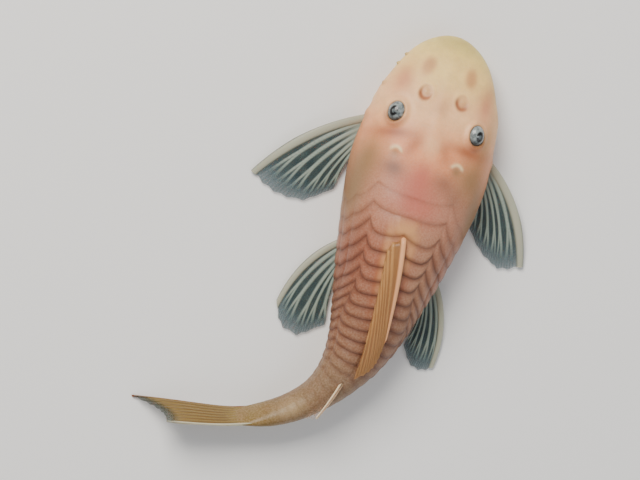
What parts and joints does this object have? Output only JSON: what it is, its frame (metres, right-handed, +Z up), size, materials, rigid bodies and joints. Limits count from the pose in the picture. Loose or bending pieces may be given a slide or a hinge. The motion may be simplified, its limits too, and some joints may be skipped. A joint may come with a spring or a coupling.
{
  "type": "bristlenose pleco model",
  "caption": "Life-size still model of a pale, armoured suckermouth catfish lying on its belly, tail bent to its left, with plated flanks, folded back fin and spread paired fins",
  "frame": {"origin": "on the floor under the centre of the bounding box", "axes": "+Y is where the head points, +X is the animal's right, +Z is up; the tail bends towards -X"},
  "size_m": [0.0672, 0.0914, 0.0183],
  "materials": {
    "skin": "cast resin painted peach and pink, with a thin satin coat",
    "eye": "blue-grey eye under a clear gloss coat",
    "lips": "soft-looking pink resin, satin",
    "fin_yellow": "ochre translucent resin, satin",
    "fin_pale": "pale grey translucent resin, satin"
  },
  "bodies": {
    "root": {"head": "skin", "trunk": "skin", "tail_base": "skin", "tail_stalk": "skin", "eye_left": "eye", "eye_right": "eye", "mouth_disc": "lips", "dorsal_fin": "fin_yellow", "adipose_fin": "fin_yellow", "caudal_fin": "fin_yellow", "anal_fin": "fin_pale", "pectoral_fin_left": "fin_pale", "pectoral_fin_right": "fin_pale", "pelvic_fin_left": "fin_pale", "pelvic_fin_right": "fin_pale"}
  },
  "joints": []
}
